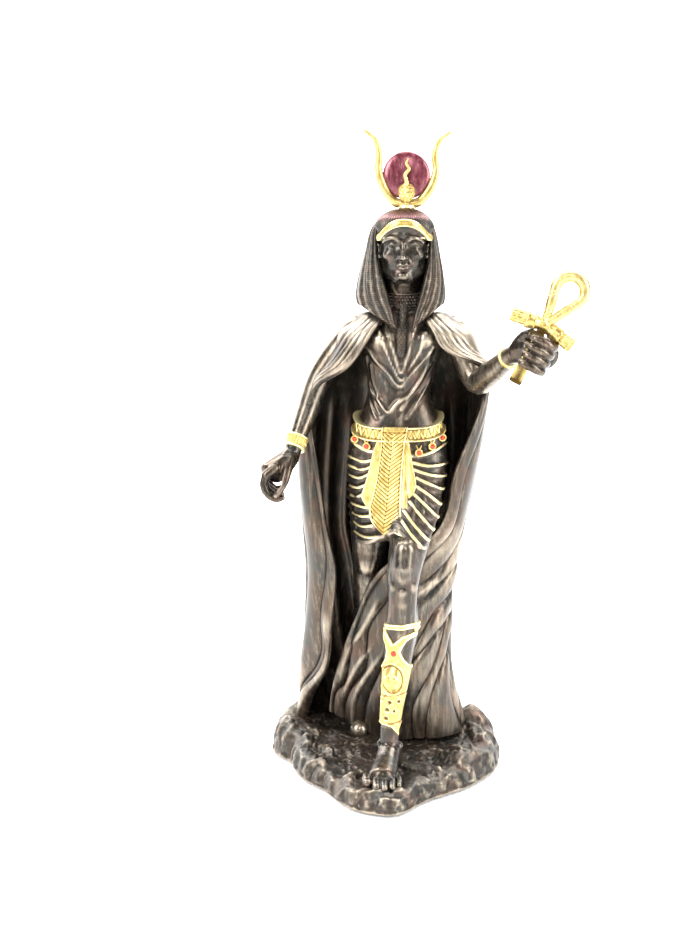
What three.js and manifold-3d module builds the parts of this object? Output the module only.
// A souvenir figure of an Egyptian goddess, in millimetres, +Z up, facing -Y.
// She strides in a wide cloak on a rock base, carries a looped cross and wears a horned sun disc.
// The origin is the middle of the base's underside.
import * as THREE from "three";
import { mergeVertices } from "three/addons/utils/BufferGeometryUtils.js";
import Module from "manifold-3d";

const wasm = await Module();
wasm.setup();

// Driving dimensions
const feltThickness = 1.2; // soft pad under the casting
const feltInset = 1.6; // how far the pad stays inside the rock's foot
const rimHeight = 9; // rock at the front edge
const rearRise = 9; // how much higher the rock is at the back
const groundUnderFoot = 9.5; // rock under the leading foot
const shoulderHeight = 222.5; // top of the cloak at the neck
const cloakThickness = 2.4;
const cloakFolds = 14;
const foldDepth = 2.4; // at the hem
const torsoFoot = 134; // the torso starts inside the kilt
const torsoTop = 226.5;
const headMiddle = 8; // the head's centre line, right of the base's
const chinHeight = 236.8;
const scalpHeight = 269;
const headclothTop = 264;
const headclothPlaits = 13;
const headclothThickness = 2.2;
const chokerHeight = 228.4;
const kiltHem = 114.5;
const kiltTop = 170;
const kiltMiddle = 4; // the apron's line, from which the pleats run to both sides
const kiltPleatPitch = 5; // height of one pleat
const kiltPleatDepth = 0.7;
const beltHeight = 173.4; // over the hips; it dips at the front
const beltDip = 6.4;
const beltWidth = 6.6;
const apronTop = 170.6;
const apronTip = 121.5;
const apronChevrons = 24;
const apronProud = 1.7; // how far the apron's edges stand in front of the pleats
const crownSeat = 269.6; // flat top of the headcloth, where the crown is glued
const crownMiddle = 9.5; // centre line of the disc and horns
const gap = 0.3; // between two pieces that touch
const discRadius = 10.8;
const discSwell = 2.4; // half the thickness of the domed disc
const discMiddle = crownSeat + 15.2;
const hornRadius = 2.1;
const hornHeight = 33;
const crossLean = THREE.MathUtils.degToRad(27);
const crossMiddle = new THREE.Vector3(69.2, -49.5, 219.4);
const crossbarReach = 15.2; // from the middle to each end of the crossbar
const crossbarDroop = [-0.12, 0.17]; // how far each half of the crossbar turns down from square
const loopReach = 17.8; // from the middle to the centre of the loop's round head
const loopRound = 6.5; // radius of that head, at the middle of the tube
const loopLean = 0.17; // the loop leans this much further than the stem
const loopTube = 2.5;
const stemLength = 28;

const loopSides = 10;
const levelReach = 0.1; // points this near to a flat level are laid on it
const sliver = 0.03; // a face's least height, below which it is merged away
const figureFaces = 8200; // how many triangles each casting is thinned to
const crossFaces = 760;
const crownFaces = 760;

// Colours of the finishes
const bronze = { color: 0x3b332b, roughness: 0.42, metalness: 0.85 };
const gold = { color: 0xc59c45, roughness: 0.38, metalness: 0.9 };
const felt = { color: 0x141413, roughness: 0.95, metalness: 0 };

// Joining and cutting
function solidOf(geometry) {
  const bare = geometry.index ? geometry.toNonIndexed() : geometry.clone();
  bare.deleteAttribute("normal");
  bare.deleteAttribute("uv");
  const merged = mergeVertices(bare, 1e-4);
  return new wasm.Manifold(
    new wasm.Mesh({
      numProp: 3,
      vertProperties: merged.attributes.position.array,
      triVerts: new Uint32Array(merged.index.array),
    }),
  );
}

function union(geometries) {
  let whole = solidOf(geometries[0]);
  for (const geometry of geometries.slice(1)) whole = whole.add(solidOf(geometry));
  return whole;
}

function meshOf(name, solid, finish) {
  const { vertProperties, triVerts, numProp } = solid.getMesh();
  const places = new Float32Array((vertProperties.length / numProp) * 3);
  for (let i = 0; i < places.length / 3; i++)
    for (let k = 0; k < 3; k++) places[3 * i + k] = vertProperties[numProp * i + k];
  const geometry = new THREE.BufferGeometry();
  geometry.setAttribute("position", new THREE.BufferAttribute(places, 3));
  geometry.setIndex(new THREE.BufferAttribute(new Uint32Array(triVerts), 1));
  geometry.computeVertexNormals();
  const mesh = new THREE.Mesh(geometry, new THREE.MeshStandardMaterial(finish));
  mesh.name = name;
  return mesh;
}

// The largest connected skin: small bubbles that are shut in between joined pieces are filled.
function outerSkin(faces, count) {
  const parent = Array.from({ length: count }, (_, i) => i);
  const root = (v) => {
    while (parent[v] !== v) v = parent[v] = parent[parent[v]];
    return v;
  };
  for (const [a, b, c] of faces) {
    parent[root(a)] = root(b);
    parent[root(b)] = root(c);
  }
  const sizes = new Map();
  for (const [a] of faces) sizes.set(root(a), (sizes.get(root(a)) ?? 0) + 1);
  const largest = [...sizes].sort((a, b) => b[1] - a[1])[0][0];
  return faces.filter(([a]) => root(a) === largest);
}

// Thins a closed skin to a number of faces: the edges whose loss changes the form least go first.
// care(point) says how much finer than elsewhere the form is kept around a point, and the points
// near one of the levels are laid flat on it again.
function thinned(solid, target, { care = () => 1, levels = [] } = {}) {
  const { vertProperties, triVerts, numProp } = solid.getMesh();
  const points = [];
  for (let i = 0; i < vertProperties.length; i += numProp)
    points.push(vec(...vertProperties.slice(i, i + 3)));
  let faces = [];
  for (let i = 0; i < triVerts.length; i += 3) faces.push([...triVerts.slice(i, i + 3)]);
  faces = outerSkin(faces, points.length);
  const around = points.map(() => new Set());
  faces.forEach((face, f) => face.forEach((v) => around[v].add(f)));
  const longestOf = ([p, q, r]) => Math.max(p.distanceTo(q), q.distanceTo(r), r.distanceTo(p));
  const normalOf = ([a, b, c]) => points[b].clone().sub(points[a]).cross(points[c].clone().sub(points[a]));
  // The squared distance to the planes of the faces around a point, as the ten sums of a symmetric form
  const errors = points.map(() => new Float64Array(10));
  for (const face of faces) {
    const n = normalOf(face);
    const area = n.length();
    if (area < 1e-12) continue;
    n.divideScalar(area);
    const d = -n.dot(points[face[0]]);
    const plane = [n.x, n.y, n.z, d];
    const terms = plane.flatMap((value, i) => plane.slice(i).map((other) => value * other));
    const weight = (area + 0.02) * care(points[face[0]]);
    for (const v of face) terms.forEach((term, k) => (errors[v][k] += weight * term));
  }
  const errorAt = (q, { x, y, z }) =>
    q[0] * x * x + 2 * q[1] * x * y + 2 * q[2] * x * z + 2 * q[3] * x + q[4] * y * y +
    2 * q[5] * y * z + 2 * q[6] * y + q[7] * z * z + 2 * q[8] * z + q[9];
  const version = new Uint32Array(points.length);
  const heap = [];
  const less = (a, b) => heap[a].cost < heap[b].cost;
  const swap = (a, b) => ([heap[a], heap[b]] = [heap[b], heap[a]]);
  const push = (entry) => {
    heap.push(entry);
    for (let i = heap.length - 1; i > 0 && less(i, (i - 1) >> 1); i = (i - 1) >> 1) swap(i, (i - 1) >> 1);
  };
  const pop = () => {
    const top = heap[0];
    const tail = heap.pop();
    if (heap.length) {
      heap[0] = tail;
      for (let i = 0; ; ) {
        let least = i;
        for (const child of [2 * i + 1, 2 * i + 2])
          if (child < heap.length && less(child, least)) least = child;
        if (least === i) break;
        swap(i, least);
        i = least;
      }
    }
    return top;
  };
  const offer = (a, b) => {
    const q = errors[a].map((value, k) => value + errors[b][k]);
    let [best, cost] = [null, Infinity];
    const form = new THREE.Matrix3().set(q[0], q[1], q[2], q[1], q[4], q[5], q[2], q[5], q[7]);
    const choices = [points[a], points[b], points[a].clone().lerp(points[b], 0.5)];
    if (Math.abs(form.determinant()) > 1e-9) {
      const ideal = vec(-q[3], -q[6], -q[8]).applyMatrix3(form.clone().invert());
      if (ideal.distanceTo(choices[2]) < 2 * points[a].distanceTo(points[b])) choices.push(ideal);
    }
    for (const p of choices) if (errorAt(q, p) < cost) [best, cost] = [p.clone(), errorAt(q, p)];
    cost += 1e-5 * points[a].distanceToSquared(points[b]);
    push({ a, b, cost, best, q, stamp: version[a] + version[b] });
  };
  const neighbours = (v) => new Set([...around[v]].flatMap((f) => faces[f]).filter((w) => w !== v));
  for (let v = 0; v < points.length; v++) for (const w of neighbours(v)) if (v < w) offer(v, w);
  let left = faces.length;
  while (left > target && heap.length) {
    const { a, b, best, q, stamp } = pop();
    if (!around[a].size || !around[b].size || stamp !== version[a] + version[b]) continue;
    const near = neighbours(b);
    if (!near.has(a)) continue;
    const shared = [...neighbours(a)].filter((v) => near.has(v));
    if (shared.length !== 2) continue;
    const gone = [...around[a]].filter((f) => around[b].has(f));
    const spoilt = [...around[a], ...around[b]].some((f) => {
      if (gone.includes(f)) return false;
      const was = normalOf(faces[f]);
      const moved = faces[f].map((v) => (v === a || v === b ? best : points[v]));
      const now = moved[1].clone().sub(moved[0]).cross(moved[2].clone().sub(moved[0]));
      const thinWas = was.length() / longestOf(faces[f].map((v) => points[v]));
      const thin = now.length() / longestOf(moved);
      if (thin < sliver && thin < 1.05 * thinWas) return true;
      return thinWas > sliver && was.dot(now) < 0.3 * was.length() * now.length();
    });
    if (spoilt) continue;
    points[a] = best;
    errors[a] = q;
    for (const f of gone) for (const v of faces[f]) around[v].delete(f);
    for (const f of around[b]) {
      faces[f] = faces[f].map((v) => (v === b ? a : v));
      around[a].add(f);
    }
    around[b].clear();
    gone.forEach((f) => (faces[f] = null));
    left -= 2;
    version[a] = Math.max(version[a], version[b]) + 1;
    for (const w of neighbours(a)) offer(a, w);
  }
  for (const p of points) for (const level of levels) if (Math.abs(p.z - level) < levelReach) p.z = level;
  const geometry = new THREE.BufferGeometry();
  const places = points.flatMap((p) => p.toArray());
  geometry.setAttribute("position", new THREE.Float32BufferAttribute(places, 3));
  geometry.setIndex(faces.filter(Boolean).flat());
  return solidOf(geometry);
}

// Curves and small sums
const mix = (a, b, t) => a + (b - a) * t;
const clamp = (v, low, high) => Math.min(high, Math.max(low, v));
const smooth = (low, high, v) => {
  const t = clamp((v - low) / (high - low), 0, 1);
  return t * t * (3 - 2 * t);
};
const bump = (distance, width) => Math.exp(-((distance / width) ** 2));
const vec = (x, y, z) => new THREE.Vector3(x, y, z);

// The values of rows [at, value, value...] at one place, on a smooth curve through the rows.
function along(rows, at) {
  const last = rows.length - 1;
  if (at <= rows[0][0]) return rows[0].slice(1);
  if (at >= rows[last][0]) return rows[last].slice(1);
  let i = 0;
  while (at > rows[i + 1][0]) i++;
  const [low, high] = [rows[i], rows[i + 1]];
  const [before, after] = [rows[Math.max(i - 1, 0)], rows[Math.min(i + 2, last)]];
  const span = high[0] - low[0];
  const t = (at - low[0]) / span;
  return low.slice(1).map((value, k) => {
    const slopeLow = ((high[k + 1] - before[k + 1]) / (high[0] - before[0])) * span;
    const slopeHigh = ((after[k + 1] - low[k + 1]) / (after[0] - low[0])) * span;
    const square = t * t;
    const cube = square * t;
    return (
      (2 * cube - 3 * square + 1) * value +
      (cube - 2 * square + t) * slopeLow +
      (3 * square - 2 * cube) * high[k + 1] +
      (cube - square) * slopeHigh
    );
  });
}

// A closed skin over rings of equally many points, with a fan on each end ring.
function loft(rings) {
  const places = [];
  const faces = [];
  const count = rings[0].length;
  for (const ring of rings) for (const p of ring) places.push(p.x, p.y, p.z);
  for (let r = 0; r + 1 < rings.length; r++)
    for (let i = 0; i < count; i++) {
      const a = r * count + i;
      const b = r * count + ((i + 1) % count);
      faces.push(a, b, b + count, a, b + count, a + count);
    }
  for (const [ring, first, turn] of [
    [rings[0], 0, 1],
    [rings.at(-1), (rings.length - 1) * count, 0],
  ]) {
    const centre = ring.reduce((sum, p) => sum.add(p), vec(0, 0, 0)).divideScalar(count);
    const hub = places.length / 3;
    places.push(centre.x, centre.y, centre.z);
    for (let i = 0; i < count; i++) {
      const a = first + i;
      const b = first + ((i + 1) % count);
      if (turn) faces.push(b, a, hub);
      else faces.push(a, b, hub);
    }
  }
  return facingOut(places, faces);
}

// A geometry whose faces are turned to point out, whichever way they were given.
function facingOut(places, faces) {
  let volume = 0;
  const at = (i) => vec(places[3 * i], places[3 * i + 1], places[3 * i + 2]);
  for (let f = 0; f < faces.length; f += 3)
    volume += at(faces[f]).dot(at(faces[f + 1]).cross(at(faces[f + 2])));
  if (volume < 0)
    for (let f = 0; f < faces.length; f += 3) [faces[f], faces[f + 1]] = [faces[f + 1], faces[f]];
  const geometry = new THREE.BufferGeometry();
  geometry.setAttribute("position", new THREE.Float32BufferAttribute(places, 3));
  geometry.setIndex(faces);
  return geometry;
}

// A level oval ring: its front and back halves have their own depths, and it may be turned in plan.
function oval([x, y, halfWidth, front, back, turn = 0], z, sides) {
  const ring = [];
  for (let i = 0; i < sides; i++) {
    const angle = (2 * Math.PI * i) / sides;
    const depth = Math.sin(angle) < 0 ? front : back;
    const p = vec(halfWidth * Math.cos(angle), depth * Math.sin(angle), 0);
    p.applyAxisAngle(vec(0, 0, 1), turn);
    ring.push(p.add(vec(x, y, z)));
  }
  return ring;
}

// A round limb through stations [x, y, z, radius], with domed ends; flat squashes it along one axis.
function limb(stations, { sides = 10, steps = 8, flat = 1, across = vec(0, 1, 0) } = {}) {
  const centres = stations.map(([x, y, z]) => vec(x, y, z));
  const curve = new THREE.CatmullRomCurve3(centres, false, "centripetal");
  const radii = stations.map((s, i) => [i / (stations.length - 1), s[3]]);
  const rings = [];
  const turned = (centre, tangent, radius) => {
    const side = across.clone().addScaledVector(tangent, -across.dot(tangent)).normalize();
    const other = tangent.clone().cross(side);
    return Array.from({ length: sides }, (_, i) => {
      const angle = (2 * Math.PI * i) / sides;
      return centre
        .clone()
        .addScaledVector(side, radius * Math.cos(angle))
        .addScaledVector(other, radius * flat * Math.sin(angle));
    });
  };
  const dome = [
    [0.92, 0.38],
    [0.62, 0.62],
  ];
  const start = curve.getPoint(0);
  const end = curve.getPoint(1);
  const [startAim, endAim] = [curve.getTangent(0), curve.getTangent(1)];
  const [startRadius, endRadius] = [stations[0][3], stations.at(-1)[3]];
  for (const [out, size] of dome) {
    const centre = start.clone().addScaledVector(startAim, -out * startRadius);
    rings.push(turned(centre, startAim, size * startRadius));
  }
  for (let i = 0; i <= steps; i++)
    rings.push(turned(curve.getPoint(i / steps), curve.getTangent(i / steps), along(radii, i / steps)[0]));
  for (const [out, size] of dome.toReversed()) {
    const centre = end.clone().addScaledVector(endAim, out * endRadius);
    rings.push(turned(centre, endAim, size * endRadius));
  }
  return loft(rings);
}

function ellipsoid(x, y, z, rx, ry, rz, turn = 0, sides = 12) {
  const ball = new THREE.SphereGeometry(1, sides, Math.round(sides * 0.6)).rotateX(Math.PI / 2);
  return ball.scale(rx, ry, rz).rotateY(turn).translate(x, y, z);
}

// A cloth of even thickness over the surface point(s, t), with s across and t down.
function cloth(point, thickness, across, down) {
  const grid = [];
  const faces = [];
  const places = [];
  const step = 1e-3;
  for (let j = 0; j <= down; j++)
    for (let i = 0; i <= across; i++) {
      const [s, t] = [i / across, j / down];
      const acrossWay = point(Math.min(s + step, 1), t).sub(point(Math.max(s - step, 0), t));
      const downWay = point(s, Math.min(t + step, 1)).sub(point(s, Math.max(t - step, 0)));
      grid.push([point(s, t), acrossWay.cross(downWay).normalize()]);
    }
  for (const side of [0.5, -0.5])
    for (const [p, normal] of grid) {
      const q = p.clone().addScaledVector(normal, side * thickness);
      places.push(q.x, q.y, q.z);
    }
  const width = across + 1;
  const under = width * (down + 1);
  for (let j = 0; j < down; j++)
    for (let i = 0; i < across; i++) {
      const a = j * width + i;
      const b = a + 1;
      const c = a + width;
      const d = c + 1;
      faces.push(a, c, d, a, d, b);
      faces.push(a + under, d + under, c + under, a + under, b + under, d + under);
    }
  const rim = [];
  for (let i = 0; i < across; i++) rim.push(i);
  for (let j = 0; j < down; j++) rim.push(j * width + across);
  for (let i = across; i > 0; i--) rim.push(down * width + i);
  for (let j = down; j > 0; j--) rim.push(j * width);
  rim.forEach((a, k) => {
    const b = rim[(k + 1) % rim.length];
    faces.push(a, b, b + under, a, b + under, a + under);
  });
  return facingOut(places, faces);
}

// A band with raised rims that follows a ring-shaped path: point(angle) gives its middle and its
// outward and upward directions.
function band(point, height, thickness, sides, rims = 1) {
  const rim = height * 0.16;
  const half = height / 2;
  const floor = thickness * 0.6;
  const proud = thickness * rims;
  const lower = [[-thickness, -half], [proud, -half], [proud, rim - half], [floor, 1.4 * rim - half]];
  const upper = lower.map(([o, u]) => [o, -u]).toReversed();
  const section = [...lower, ...upper];
  const places = [];
  const faces = [];
  for (let i = 0; i < sides; i++) {
    const { centre, out, up } = point((2 * Math.PI * i) / sides);
    for (const [o, u] of section) {
      const p = centre.clone().addScaledVector(out, o).addScaledVector(up, u);
      places.push(p.x, p.y, p.z);
    }
  }
  const n = section.length;
  for (let i = 0; i < sides; i++)
    for (let k = 0; k < n; k++) {
      const a = i * n + k;
      const b = i * n + ((k + 1) % n);
      const c = ((i + 1) % sides) * n + k;
      const d = ((i + 1) % sides) * n + ((k + 1) % n);
      faces.push(a, c, d, a, d, b);
    }
  return facingOut(places, faces);
}

// Rock base
const rockOutline = [
  [3, -59], [20, -39], [37, -23], [50, -2], [54, 22], [48, 42], [26, 55],
  [-6, 59], [-38, 58], [-54, 47], [-57, 30], [-47, 12], [-41, -8], [-28, -28], [-15, -51],
].map(([x, y]) => vec(x, y, 0));
const rockCurve = new THREE.CatmullRomCurve3(rockOutline, true, "centripetal");
const rockMiddle = vec(0, 6, 0);
const rockReach = 55; // from its middle to its edge, about
const rockFoot = 0.965; // the foot's size as a share of the widest outline
// Lumps of the rock: place, rise and width
const rockLumps = [
  [42, 30, 9, 9], [30, 44, 8, 6], [-44, 50, 7, 10], [-50, 26, 3, 9],
  [-12, -46, 2, 8], [14, -40, 1.6, 7], [38, -8, 2.4, 9],
];

function rockHeight(x, y) {
  let height = rimHeight + rearRise * smooth(-46, 56, y);
  for (const [lumpX, lumpY, rise, width] of rockLumps)
    height += rise * bump(Math.hypot(x - lumpX, y - lumpY), width);
  height += 0.7 * Math.sin(0.31 * x + 0.17 * y) * Math.cos(0.23 * y - 0.12 * x);
  return height;
}

function rockBase() {
  const sides = 44;
  const rings = [];
  const steps = [
    [rockFoot, 0], [1, 0.22], [0.99, 0.55], [0.95, 0.86], [0.86, 1], [0.68, 1], [0.46, 1], [0.22, 1],
  ];
  for (const [size, share] of steps) {
    const ring = [];
    for (let i = 0; i < sides; i++) {
      const edge = rockCurve.getPoint(i / sides);
      const side = share > 0 && share < 1;
      const rough = side ? 0.012 * (Math.sin(i * 2.3) + Math.sin(i * 5.1 + share * 9)) : 0;
      const p = rockMiddle.clone().lerp(edge, size + rough);
      p.z = mix(feltThickness, rockHeight(p.x, p.y), share);
      ring.push(p);
    }
    rings.push(ring);
  }
  return loft(rings);
}

function feltPad() {
  const sides = 30;
  const ring = (z) =>
    Array.from({ length: sides }, (_, i) => {
      const edge = rockCurve.getPoint(i / sides);
      const p = rockMiddle.clone().lerp(edge, rockFoot - feltInset / rockReach);
      p.z = z;
      return p;
    });
  return loft([ring(0), ring(feltThickness)]);
}

// Cloak: each row is its plan at one height, as the places of its left front edge, left front,
// left side, back, right side, right front and right front edge
const cloakPlan = [
  [12, -41, 41, -45, 42, -46, 46, -8, 52, 40.5, 26, 24, 8, -29, 27],
  [30, -37, 30, -42, 31, -44.5, 36, -6, 49, 35.5, 22, 20, 5, -28.5, 24],
  [50, -29, 13, -36, 20, -42, 27, -4, 45, 30.5, 19, 18, 3, -24.5, 16],
  [75, -26, 4, -32, 9, -39.5, 20, -2, 40, 30, 16, 17, 1, -16, 7],
  [100, -24, 1, -31, 4, -38.4, 15, 0, 36, 32.5, 13, 19, 0, -4, 1],
  [122, -28, 0, -34, 3, -39.6, 12, 2, 33, 36, 11, 30.5, -3, 23, -8],
  [150, -32, 0, -36.5, 3, -41, 10, 4, 30, 41.5, 9, 37.5, -4, 32, -9],
  [178, -35, -1, -37.5, 2, -38.4, 9, 6, 27, 45, 7, 45.5, -1, 43.5, -5],
  [190, -31, -8, -32.6, -3, -33, 6, 7, 23, 45.4, 5, 46.8, -1, 46, -4],
  [198, -18, -14, -25, -9, -27.2, 4, 7.5, 19.5, 44, 3, 46.6, -4.5, 45.5, -9],
  [206, -11, -15.5, -19, -10.5, -22.8, 1, 8, 17, 41, 0, 37.5, -10.5, 27, -15.5],
  [214, -6, -15.5, -14.5, -10, -19.4, -1, 8, 14, 37.2, -1, 31.5, -10.5, 21.5, -15.5],
  [222.5, 1, -9, -6, -6, -9, 0, 8.3, 10, 25.5, 0, 22.5, -6, 15.5, -9],
];
const cloakHem = [
  [0, 17.5], [0.12, 17], [0.3, 16], [0.55, 16], [0.72, 16], [0.8, 14.5], [0.86, 14.5], [0.92, 18], [1, 24],
];

function cloakPoint(s, t) {
  const z = mix(shoulderHeight, along(cloakHem, s)[0], t);
  const row = along(cloakPlan, z);
  const key = [0, 2, 4, 6, 8, 10, 12].map((k) => vec(row[k], row[k + 1], z));
  const [side, back, otherSide] = [key[2], key[3], key[4]];
  const corner = (flank) => vec(mix(back.x, flank.x, 0.72), mix(flank.y, back.y, 0.72), z);
  key.splice(3, 0, corner(side));
  key.splice(5, 0, corner(otherSide));
  const curve = new THREE.CatmullRomCurve3(key, false, "centripetal");
  curve.arcLengthDivisions = 60;
  return curve.getPointAt(s);
}

function foldedCloak(s, t) {
  const p = cloakPoint(s, t);
  const nextS = cloakPoint(Math.min(s + 0.01, 1), t).sub(cloakPoint(Math.max(s - 0.01, 0), t));
  const out = vec(nextS.y, -nextS.x, 0).normalize();
  const depth = foldDepth * (0.16 + 0.84 * smooth(0.12, 0.95, t));
  const sway = 0.9 * Math.sin(19 * s + 1) + 0.5 * Math.sin(3 * t + 9 * s);
  const wave = Math.cos(2 * Math.PI * cloakFolds * s + sway);
  const broad = Math.cos(2 * Math.PI * 5 * s + 1.4 + 2 * t);
  const free = smooth(0, 0.03, s) * smooth(1, 0.97, s);
  return p.addScaledVector(out, depth * free * (0.68 * wave + 0.32 * broad));
}

// Body
const torsoStations = [
  [torsoFoot, 5, -3, 18, 13, 13], [146, 5.4, -2, 21.5, 12, 13], [158, 5.7, 0, 22.4, 11.5, 12],
  [168, 5.7, 0, 20.5, 11.5, 11], [177, 5.8, 0, 17, 11, 9], [186, 6, 0, 14.6, 10, 8],
  [196, 6.8, 0, 16.2, 10.5, 8.5], [205, 7.6, 0, 19.3, 11, 9.5], [213, 8.2, 0, 21.8, 10.5, 9.5],
  [218.5, 8.4, 0.5, 21, 8.5, 8.5], [223, 8.7, 1, 13.5, 6.5, 7], [torsoTop, 8.8, 0, 7.5, 6, 6],
];
const bustPlaces = [
  [-3.6, 210.5],
  [19.8, 210.5],
];

function torso() {
  const rings = [];
  const levels = 19;
  for (let j = 0; j <= levels; j++) {
    const z = mix(torsoFoot, torsoTop, j / levels);
    const ring = oval(along(torsoStations, z), z, 26);
    for (const p of ring.filter(({ y }) => y < 0))
      for (const [x, height] of bustPlaces)
        p.y -= 5.4 * bump(Math.hypot((p.x - x) * 0.95, p.z - height), 6.6);
    rings.push(ring);
  }
  return loft(rings);
}

// One fold of the bodice hangs across the waist, and two of its cowl lie between the breasts.
function bodiceFolds() {
  const fold = (points, radius) =>
    limb(points.map(([x, y, z]) => [x, y, z, radius]), { sides: 6, steps: 9 });
  return [
    fold([[-7, -9.5, 188], [0, -10.6, 178], [7, -10.6, 183], [14, -10, 196]], 0.75),
    fold([[-8.4, -12, 208], [0.5, -12.6, 198], [6, -11.6, 193], [12, -12.4, 199], [21, -12.6, 208]], 0.7),
    fold([[-1.5, -13, 217], [3, -12.4, 206], [6.5, -11.4, 197.5], [10, -12, 206], [15, -13, 216]], 0.7),
  ];
}

function neckAndHead() {
  const neck = limb([[8.8, 0, 220, 6.2], [8.6, -1, 229, 5.3], [8.2, -2, 240, 5.6]], { sides: 12, steps: 4 });
  const stations = [
    [chinHeight, -9.6, 2.6, 3, 3], [238.4, -8.4, 5, 5.2, 6], [241.5, -6, 7.6, 7.4, 8.5],
    [245.5, -3.5, 9.4, 9.8, 11], [250, -2, 10.6, 11.2, 12.6], [254, -1.6, 11.2, 11.2, 13],
    [258, -1.2, 11.2, 12, 13], [263, -1, 10.4, 11.6, 12], [267, -1, 7.6, 8.6, 9],
    [scalpHeight, -1, 3.4, 4, 4.4],
  ];
  const rings = [];
  const levels = 20;
  for (let j = 0; j <= levels; j++) {
    const z = mix(chinHeight, scalpHeight, j / levels);
    const ring = oval([headMiddle, ...along(stations, z)], z, 28);
    for (const p of ring) {
      const aside = Math.abs(p.x - headMiddle);
      if (p.y > -6) continue;
      p.y -= 3.2 * bump(aside, 1.5) * smooth(246.2, 247.8, z) * smooth(257.5, 248.6, z); // nose
      p.y += 1.3 * bump(Math.hypot(aside - 4.7, (z - 253.2) * 1.3), 2.2); // eye hollows
      p.y -= 0.7 * bump(aside - 4.5, 3.6) * bump(z - 256.2, 1.2); // brows
      p.y -= 1.1 * bump(aside, 2.6) * bump(z - 243.8, 1.5); // lips
      p.y -= 0.8 * bump(aside, 2.6) * bump(z - 239.4, 1.8); // chin
    }
    rings.push(ring);
  }
  const ears = [-1, 1].map((side) =>
    ellipsoid(headMiddle + side * 11.6, -2.6, 251, 1.3, 1.9, 3.4, side * 0.12, 8),
  );
  return [neck, loft(rings), ...ears];
}

// Headcloth: a cap and a plaited cloth that falls behind the ears to the chest
const headclothPlan = [
  [214, 5.4, -15.6, 2.6, -15.2, -1, -14.4, 8, 12, 16.4, -14.4, 13.4, -15.2, 11.6, -15.6],
  [222, 3.6, -14, -2.2, -13, -8.8, -9, 8, 12, 22.6, -9, 17.6, -13, 13, -14],
  [229, 1.6, -11.2, -5.8, -9.6, -12.4, -2, 8, 12.2, 25.8, -2, 21, -9.6, 15, -11.2],
  [238, -1, -8.4, -7.2, -6, -11.6, 1, 8.2, 12.6, 25.4, 1, 22.8, -6, 17.4, -8.4],
  [250, -3.6, -4, -6.4, -3, -8.4, 2, 8.4, 12.6, 23.4, 2, 22, -3, 19.6, -4],
  [260, -3, -4.6, -4.6, -3, -5.6, 1, 8.6, 11.4, 21.2, 1, 20.4, -3, 19, -4.6],
  [265, 0, -4, -1, -2, -1.8, 1, 8.4, 8.6, 17.8, 1, 17.2, -2, 16, -4],
];
const headclothHem = [
  [0, 215.5], [0.14, 219.5], [0.25, 226], [0.5, 223], [0.75, 226], [0.86, 219.5], [1, 214],
];

function headclothPoint(s, t) {
  const z = mix(headclothTop, along(headclothHem, s)[0], t);
  const row = along(headclothPlan, z);
  const key = [0, 2, 4, 6, 8, 10, 12].map((k) => vec(row[k], row[k + 1], z));
  const corner = (flank) => vec(mix(key[3].x, flank.x, 0.72), mix(flank.y, key[3].y, 0.72), z);
  const turned = [...key.slice(0, 3), corner(key[2]), key[3], corner(key[4]), ...key.slice(4)];
  const curve = new THREE.CatmullRomCurve3(turned, false, "centripetal");
  const p = curve.getPoint(s);
  const aim = curve.getTangent(s);
  const plait = 0.38 * Math.cos(2 * Math.PI * headclothPlaits * s) * smooth(0, 0.15, t);
  return p.addScaledVector(vec(aim.y, -aim.x, 0), plait);
}

function cap() {
  const stations = [
    [258, 8.4, 0.6, 14, 12.6, 13], [262, 8.4, 0.3, 13.8, 13.4, 12.6], [265.5, 8.4, 0, 11.8, 12, 11],
    [268, 8.6, 0, 8.8, 9, 8.4], [crownSeat, 8.8, 0, 5.6, 5.4, 5.4],
  ];
  return loft(stations.map(([z, ...shape]) => oval(shape, z, 26)));
}

function diadem() {
  return band(
    (angle) => {
      const out = vec(Math.cos(angle), Math.sin(angle), 0);
      const height = Math.max(257, 263.4 - 14 * (1 + out.y));
      const centre = vec(8.4 + 12.8 * out.x, 0.2 + 13 * out.y, height);
      return { centre, out, up: vec(0, -0.28 * out.y, 1).normalize() };
    },
    3.4, 0.9, 26,
  );
}

function necklace() {
  const choker = band(
    (angle) => {
      const out = vec(Math.cos(angle), Math.sin(angle), 0);
      const centre = vec(8.7 + 6.6 * out.x, -0.6 + 6.6 * out.y, chokerHeight + 1.2 * out.y);
      return { centre, out, up: vec(0, 0, 1) };
    },
    6, 0.8, 18,
  );
  const strip = limb(
    [[8.2, -6.6, 226, 1.7], [7.6, -10, 219, 1.9], [7, -12.2, 211, 1.3]],
    { sides: 8, steps: 4, across: vec(1, 0, 0), flat: 0.6 },
  );
  return [choker, strip];
}

// Belt, kilt and apron
const hipStations = [
  [112, 0.4, -6.2, 25, 10.2, 10.2, -0.97], [118, 1.4, -5.6, 25.2, 10.8, 10.8, -0.88],
  [127, 3, -4.2, 24.8, 12, 12, -0.7], [142, 4.3, -1.7, 24, 13.4, 13.4, -0.42],
  [156, 5.4, -0.6, 23.4, 13, 13.2, -0.14], [166, 5.7, 0, 21.4, 12.4, 12, 0],
  [176, 5.7, 0, 18.4, 11.6, 10.2, 0],
];

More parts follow.
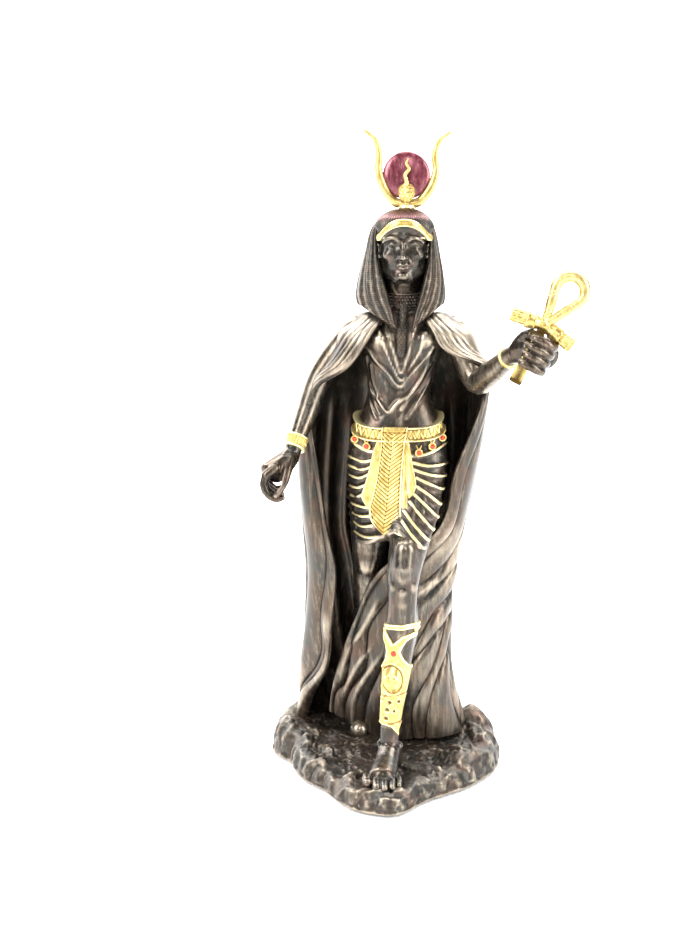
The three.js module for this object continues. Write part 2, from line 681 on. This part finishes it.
// Where the front of the hips' oval stands at one place across and one height.
function hipFront(x, z) {
  const [cx, cy, half, front, , turn] = along(hipStations, z);
  const [cosine, sine] = [Math.cos(turn), Math.sin(turn)];
  const dx = x - cx;
  const square = sine ** 2 / half ** 2 + cosine ** 2 / front ** 2;
  const linear = 2 * dx * sine * cosine * (1 / half ** 2 - 1 / front ** 2);
  const rest = dx ** 2 * (cosine ** 2 / half ** 2 + sine ** 2 / front ** 2) - 1;
  return cy - (linear + Math.sqrt(Math.max(linear ** 2 - 4 * square * rest, 0))) / (2 * square);
}

// The kilt's pleats droop to the left and fan out down the leading thigh on the right.
function pleat(x, z) {
  const aside = x - kiltMiddle;
  const fan = aside > 0 ? 0.25 + 0.75 * smooth(160, 122, z) : -0.3;
  return Math.cos((2 * Math.PI * (z + aside * fan)) / kiltPleatPitch);
}

function kilt() {
  const rings = [];
  const levels = 34;
  const sides = 36;
  for (let j = 0; j <= levels; j++) {
    const share = j / levels;
    const level = mix(kiltHem, kiltTop, share);
    const ring = oval(along(hipStations, level), level, sides);
    for (const p of ring) {
      const front = smooth(2, -14, p.y);
      const hem = kiltHem + 9 * front * bump(p.x - kiltMiddle, 9);
      p.z = mix(hem, kiltTop, share);
      const out = vec(p.x - kiltMiddle, p.y + 4, 0).normalize();
      p.addScaledVector(out, kiltPleatDepth * pleat(p.x, p.z));
    }
    rings.push(ring);
  }
  return loft(rings);
}

function belt() {
  return band(
    (angle) => {
      const out = vec(Math.cos(angle), Math.sin(angle), 0);
      const front = smooth(0.35, -1, out.y);
      const z = beltHeight - beltDip * front;
      const [x, y, halfWidth, frontDepth, back] = along(hipStations, z);
      const depth = out.y < 0 ? frontDepth : back;
      const centre = vec(x + (halfWidth + 0.2) * out.x, y + (depth + 0.2) * out.y, z);
      return { centre, out, up: vec(-0.14 * out.x, -0.14 * out.y, 1).normalize() };
    },
    beltWidth, 1.5, 34,
  );
}

function beltPendants() {
  const places = [[-14.6, 163.6], [-9, 161.2], [15.8, 158.6], [21.8, 161.2], [26.6, 164.2]];
  return places.map(([x, z]) => ellipsoid(x, hipFront(x, z) - 0.5, z, 1.5, 1.3, 1.5, 0, 8));
}

// The apron widens downwards to a point, and its face carries rows of shallow chevrons.
function apron() {
  const rings = [];
  const rows = 2 * apronChevrons;
  const outline = [
    [0, 4.9, 6.2], [0.35, 2.6, 6.4], [0.62, 1.2, 7.0], [0.82, -0.2, 7.6], [0.9, -0.5, 6.4], [1, -1, 0.7],
  ];
  for (let j = 0; j <= rows; j++) {
    const t = j / rows;
    const [centre, half] = along(outline, t);
    const z = mix(apronTop, apronTip, t);
    const ridge = j % 2 ? 0.45 : 0;
    const dip = (3 * (1 - t) * half) / 7;
    const at = (share, proud, rise) => {
      const x = centre + half * share;
      const rest = Math.min(hipFront(x, z), hipFront(centre + 1, z));
      return vec(x, rest - apronProud - proud, z + dip * rise);
    };
    const behind = (share) => {
      const x = centre + half * share;
      return vec(x, hipFront(x, z) + 2, z + dip * 0.6);
    };
    rings.push([
      behind(-0.98), at(-1, 0, 0.6), at(-0.5, 0.5 + ridge, 0.3), at(0, 0.7 + ridge, -0.4),
      at(0.5, 0.5 + ridge, 0.3), at(1, 0, 0.6), behind(0.98), behind(0),
    ]);
  }
  return loft(rings);
}

function apronLeaves() {
  const leaf = (points) =>
    limb(
      points.map(([x, z, r]) => [x, hipFront(x, z) - 0.4, z, r]),
      { sides: 6, steps: 6, flat: 0.5, across: vec(1, 0, 0) },
    );
  return [
    leaf([[9.6, 164, 0.9], [12.4, 154, 2], [13.8, 144, 2.6], [11.4, 138, 0.9]]),
    leaf([[-2.4, 164, 0.9], [-5.6, 153, 2.2], [-8.4, 142, 2.4], [-8, 136, 0.9]]),
  ];
}

// Legs, greave and foot
const leadingLeg = [
  [15.5, -2, 150, 11.4], [12.6, -13, 127, 10], [8.2, -22.6, 104, 7.6], [7.6, -23.4, 92, 6.6],
  [6.6, -22.2, 76, 7], [4.6, -22.4, 57, 5.9], [2, -23.8, 36, 4.4], [1.4, -24.2, 28, 4.3],
];
const trailingLeg = [
  [-4.5, 2, 150, 11.4], [-7.6, 5, 127, 9.8], [-9, 8.4, 103, 7.4], [-9.6, 15, 80, 6.8],
  [-11, 24, 50, 5.4], [-11.6, 31, 28, 4.4], [-12, 31, 20, 4.6],
];

function legs() {
  const kneecap = ellipsoid(8, -29, 103, 3.8, 2.6, 4.4, 0, 10);
  return [limb(leadingLeg, { sides: 14, steps: 16 }), limb(trailingLeg, { sides: 10, steps: 10 }), kneecap];
}

// The greave clasps the leading shin; its rings stand proud of the leg by the second number.
function greave() {
  const rings = [];
  const legAt = leadingLeg.map(([x, y, z, radius]) => [z, x, y, radius]).toReversed();
  const proud = [
    [29, 0.3], [32, 1.1], [34, 0.7], [47, 0.8], [49, 1.5], [51, 0.9], [57, 1.3],
    [66, 1.1], [70, 0.7], [76, 0.9], [79.5, 1], [80.5, 1.7], [84, 1.7], [85, 0.4],
  ];
  for (const [z, rise] of proud) {
    const [x, y, legRadius] = along(legAt, z);
    const radius = legRadius + rise;
    rings.push(oval([x, y, radius, radius, radius], z, 20));
  }
  const boss = ellipsoid(3.9, -27.6, 57, 4.4, 2.6, 6.6, 0.12, 12);
  const gem = ellipsoid(5.4, -29.2, 69.6, 1.3, 1.2, 1.3, 0, 8);
  const tab = limb([[4.4, -28, 34, 1.7], [5.4, -29, 29, 0.8]], { sides: 6, steps: 2 });
  return [loft(rings), boss, gem, tab];
}

function foot() {
  const sole = groundUnderFoot;
  // From the heel over the instep to the ball, by height over the sole
  const instep = [[2.6, -19, 4, 4.6], [1.6, -24, 11, 5], [0.2, -32, 7.4, 5.6], [-1.4, -41, 3.6, 6.8]];
  const heel = limb(
    instep.map(([x, y, rise, radius]) => [x, y, sole + rise, radius]),
    { sides: 12, steps: 8, across: vec(1, 0, 0), flat: 0.78 },
  );
  const toeTips = [[-8.4, -44.5, 2.5], [-4.2, -48.6, 2], [-0.6, -49.6, 1.8], [2.9, -48, 1.7], [6, -45, 1.5]];
  const toes = toeTips.map(([x, y, r], i) => {
    const knuckle = [-4.4 + 2.2 * i, -38, sole + 3.2, r + 0.4];
    const joint = [x, y + 2.4, sole + r + 0.6, r];
    return limb([knuckle, joint, [x, y - 1.6, sole + r - 0.2, r * 0.92]], { sides: 8, steps: 5 });
  });
  const rearFoot = limb([[-12, 33, 18, 5], [-13, 26, 18.5, 5.2], [-14, 18, 17, 4.6]], { sides: 8, steps: 4 });
  return [heel, ...toes, rearFoot];
}

// Arms and hands
function arms() {
  const right = [
    [-13, 0, 214.5, 7.2], [-22, 1, 205, 6.4], [-31, 1.5, 192, 5.7],
    [-37, -5, 176, 5.2], [-42, -12.4, 162, 3.9], [-43.6, -14.6, 157.5, 3.9],
  ];
  const left = [
    [30, 0, 214.5, 7.2], [36.5, -2.5, 203, 6.4], [42, -7.6, 191.5, 5.9],
    [48.4, -19.5, 196.5, 5.9], [55.4, -34, 204.8, 4.5], [58.5, -39.5, 207.4, 4.2],
  ];
  return [right, left].map((stations) => limb(stations, { sides: 12, steps: 12 }));
}

function bracelets() {
  const around = (centre, aim, radius) => (angle) => {
    const side = vec(0, 1, 0).addScaledVector(aim, -aim.y).normalize();
    const other = aim.clone().cross(side);
    const out = side.clone().multiplyScalar(Math.cos(angle)).addScaledVector(other, Math.sin(angle));
    return { centre: centre.clone().addScaledVector(out, radius), out, up: aim };
  };
  const rightAim = vec(-5, -7.4, -14).normalize();
  const leftAim = vec(7, -14.5, 8.3).normalize();
  return [
    band(around(vec(-41.4, -11.6, 163.6), rightAim, 4.4), 6, 1, 16),
    band(around(vec(55, -33.2, 204.4), leftAim, 4.6), 1.7, 0.9, 16, 0.8),
  ];
}

function openHand() {
  const palm = limb(
    [[-43.4, -14.4, 158, 4], [-47, -16.4, 154, 6], [-52.6, -18.4, 149.6, 6.4]],
    { sides: 10, steps: 5, across: vec(0, 1, 0.2), flat: 0.55 },
  );
  const fingers = [0, 1, 2, 3].map((i) => {
    const y = -22.6 + 3.5 * i;
    const reach = 6 - 0.42 * i;
    const knuckles = [[-53, y, 150.5, 2.1], [-55.4, y - 0.4, 145.6, 2]];
    const tip = [[-53.6, y - 0.8, 141 + i, 1.85], [-53.6 + reach, y - 0.8, 138.8 + i, 1.6]];
    return limb([...knuckles, ...tip], { sides: 7, steps: 6 });
  });
  const thumb = limb(
    [[-44.6, -19, 155, 2.6], [-45.8, -23.4, 150.4, 2.3], [-47, -25.2, 145.8, 2], [-49.6, -25.4, 142.2, 1.6]],
    { sides: 7, steps: 6 },
  );
  return [palm, ...fingers, thumb];
}

function fist() {
  const lean = vec(Math.sin(crossLean), 0, Math.cos(crossLean));
  const across = vec(Math.cos(crossLean), 0, -Math.sin(crossLean));
  const palm = limb(
    [[56.6, -37.4, 206, 4.4], [60.6, -41, 207.8, 6.6], [66, -43.6, 208, 8.4], [69.4, -44.8, 207, 7.6]],
    { sides: 12, steps: 6, across: lean, flat: 0.46 },
  );
  const grip = vec(65, -49.5, 207.6);
  const fingers = [0, 1, 2, 3].map((i) => {
    const level = grip.clone().addScaledVector(lean, 5.9 - 3.95 * i);
    // Across the stem, towards the back and the finger's radius, from knuckle to tip
    const curl = [
      [4.2, 4.6, 2.2], [6.2, -0.6, 2.25], [3.6, -4.4, 2.15], [-1.6, -4.9, 2.05], [-4.6 + 0.4 * i, -2.9, 1.8],
    ];
    const stations = curl.map(([x, y, radius]) => {
      const p = level.clone().addScaledVector(across, x);
      return [p.x, p.y + y, p.z, radius];
    });
    return limb(stations, { sides: 8, steps: 8 });
  });
  const thumb = limb(
    [[58.6, -41, 211, 2.8], [61, -45.4, 214.4, 2.4], [64.2, -50.2, 215.6, 2.1], [66, -53, 214.4, 1.7]],
    { sides: 8, steps: 6 },
  );
  return [palm, ...fingers, thumb];
}

// Looped cross, built about its own middle and then leant; extra makes it thicker all round
function loopedCross(extra = 0) {
  const pieces = [];
  const loopPath = [];
  const count = 28;
  const tangent = Math.acos(loopRound / loopReach);
  const straight = Math.sqrt(loopReach ** 2 - loopRound ** 2);
  const arc = 2 * (Math.PI - tangent) * loopRound;
  const whole = 2 * straight + arc;
  for (let i = 0; i <= count; i++) {
    const way = (whole * i) / count;
    const turn = Math.PI + tangent + clamp(way - straight, 0, arc) / loopRound;
    const round = vec(loopRound * Math.sin(turn), 0, loopReach + loopRound * Math.cos(turn));
    const share = clamp(Math.min(way, whole - way) / straight, 0, 1);
    const p = round.multiplyScalar(share).add(vec(0, 0, 0.5));
    loopPath.push(p.applyAxisAngle(vec(0, 1, 0), loopLean));
  }
  const tube = (i) => loopTube * (0.8 + 0.24 * Math.sin((Math.PI * i) / count)) + extra;
  const rings = loopPath.slice(0, count).map((centre, i) => {
    const aim = loopPath[i + 1].clone().sub(loopPath[(i - 1 + count) % count]).normalize();
    const side = aim.clone().cross(vec(0, 1, 0));
    return Array.from({ length: loopSides }, (_, k) => {
      const angle = (2 * Math.PI * k) / loopSides;
      return centre
        .clone()
        .addScaledVector(side, tube(i) * Math.cos(angle))
        .addScaledVector(vec(0, 1, 0), tube(i) * Math.sin(angle));
    });
  });
  const places = rings.flat().flatMap((p) => [p.x, p.y, p.z]);
  const faces = [];
  for (let i = 0; i < count; i++)
    for (let k = 0; k < loopSides; k++) {
      const next = (i + 1) % count;
      const a = i * loopSides + k;
      const b = i * loopSides + ((k + 1) % loopSides);
      const c = next * loopSides + k;
      const d = next * loopSides + ((k + 1) % loopSides);
      faces.push(a, c, d, a, d, b);
    }
  pieces.push(facingOut(places, faces));
  for (const side of [-1, 1]) {
    const collar = [[0, 1.6], [1.6, 2.5], [4, 3.4], [7.2, 3.7], [8.4, 3.4], [8.7, 2.4]];
    const bundle = [[8, 2.7], [crossbarReach - 0.6, 3], [crossbarReach, 2.6]];
    const turned = (profile, sides, ripple) =>
      loft(
        profile.map(([x, r]) =>
          Array.from({ length: sides }, (_, k) => {
            const angle = (2 * Math.PI * k) / sides;
            const size = r + extra - (k % 2 ? ripple : 0);
            const reach = x + (x > 8 ? extra : 0);
            return vec(side * reach, size * Math.cos(angle), size * Math.sin(angle));
          }),
        ),
      );
    const droop = crossbarDroop[side < 0 ? 0 : 1];
    pieces.push(turned(collar, 14, 0).rotateY(droop), turned(bundle, 16, 0.45).rotateY(droop));
  }
  const corners = [[-1, -1], [1, -1], [1, 1], [-1, 1]];
  const stem = (z, halfWidth, halfDepth) =>
    corners.map(([a, b]) => vec(a * (halfWidth + extra), b * (halfDepth + extra), z));
  pieces.push(loft([stem(-stemLength - extra, 2.8, 1.7), stem(-8, 2.1, 1.5), stem(1, 2, 1.5)]));
  pieces.push(ellipsoid(0, 0, 0, 2.5 + extra, 2.5 + extra, 2.5 + extra, 0, 12));
  for (const piece of pieces) piece.rotateY(crossLean).translate(...crossMiddle.toArray());
  return union(pieces);
}

// Horned sun disc with a rearing cobra, glued on the cap
function crown() {
  const x = crownMiddle;
  const pieces = [];
  // Out from the middle, height over the horn's root, and radius as a share of the thickest
  const hornPath = [
    [1.5, 0, 1.05], [5.6, 1.2, 1.05], [10.4, 7.4, 1], [12.8, 15.4, 0.86],
    [12.4, 22.4, 0.76], [14.2, 28.9, 0.6], [19, hornHeight, 0.33],
  ];
  // The right horn reaches a little further out and ends a little lower than the left one.
  for (const [side, reach, lower] of [[-1, 1, 0], [1, 1.05, 0.8]]) {
    const stations = hornPath.map(([out, z, share]) => {
      const height = z - lower * (z / hornHeight);
      return [x + side * out * reach, 0, crownSeat + 2.2 + height, share * hornRadius];
    });
    pieces.push(limb(stations, { sides: 9, steps: 15 }));
  }
  const profile = [];
  const arcs = 5;
  for (let i = 0; i <= arcs; i++) {
    const angle = mix(-Math.PI / 2, Math.PI / 2, i / arcs);
    profile.push(new THREE.Vector2(discRadius * Math.cos(angle) ** 0.7, discSwell * Math.sin(angle)));
  }
  profile[0].x = 0;
  profile[arcs].x = 0;
  pieces.push(new THREE.LatheGeometry(profile, 26).translate(x, 0, discMiddle));
  const hood = ellipsoid(x, -3.4, crownSeat + 7.2, 3.9, 1.3, 4.2, 0, 12);
  const head = ellipsoid(x, -4.4, crownSeat + 11.8, 1.2, 1.6, 1.2, 0, 8);
  const tail = [[0, -3.4, 12, 0.9], [-0.6, -3, 15.4, 0.9], [1.2, -3, 18, 0.75], [0.6, -2.8, 21.4, 0.5]];
  const tailStations = tail.map(([aside, y, z, radius]) => [x + aside, y, crownSeat + z, radius]);
  pieces.push(hood, head, limb(tailStations, { sides: 6, steps: 8 }));
  const seat = new THREE.CylinderGeometry(3.4, 4, 2.4, 18).rotateX(Math.PI / 2);
  pieces.push(seat.translate(x, 0, crownSeat + 1.2));
  return union(pieces);
}

// Assembly
const statue = new THREE.Group();

const casting = union([
  rockBase(),
  cloth(foldedCloak, cloakThickness, 6 * cloakFolds, 15),
  torso(),
  ...bodiceFolds(),
  ...neckAndHead(),
  cloth(headclothPoint, headclothThickness, 4 * headclothPlaits, 7),
  cap(),
  diadem(),
  ...necklace(),
  kilt(),
  belt(),
  ...beltPendants(),
  apron(),
  ...apronLeaves(),
  ...legs(),
  ...greave(),
  ...foot(),
  ...arms(),
  ...bracelets(),
  ...openHand(),
  ...fist(),
]);
// The head, the hands and the feet keep finer faces than the cloak and the rock.
const fineCare = (p) => {
  const head = bump(p.distanceTo(vec(8, -10, 250)), 20);
  const hands = bump(p.distanceTo(vec(66, -46, 210)), 14) + bump(p.distanceTo(vec(-50, -18, 148)), 14);
  const toes = bump(p.distanceTo(vec(-1, -44, 12)), 16);
  const dress = bump(p.distanceTo(vec(4, -20, 146)), 28);
  return 1 + 7 * (head + hands + toes) + 5 * dress;
};
// Blocks that cut the casting flat: below its seat and above the headcloth
const seatBlock = new THREE.BoxGeometry(400, 400, 100).translate(0, 0, feltThickness - 50);
const crownBlock = new THREE.BoxGeometry(60, 60, 20).translate(crownMiddle, 0, crownSeat + 10);
const trimmed = [loopedCross(gap), solidOf(seatBlock), solidOf(crownBlock)].reduce(
  (whole, cutter) => whole.subtract(cutter),
  casting,
);
const figure = thinned(trimmed, figureFaces, { care: fineCare, levels: [feltThickness, crownSeat] });
statue.add(meshOf("statue", figure, bronze));
statue.add(meshOf("looped_cross", thinned(loopedCross(), crossFaces), gold));
statue.add(meshOf("horned_disc_crown", thinned(crown(), crownFaces, { levels: [crownSeat] }), gold));
statue.add(meshOf("felt_pad", solidOf(feltPad()), felt));

export default statue;
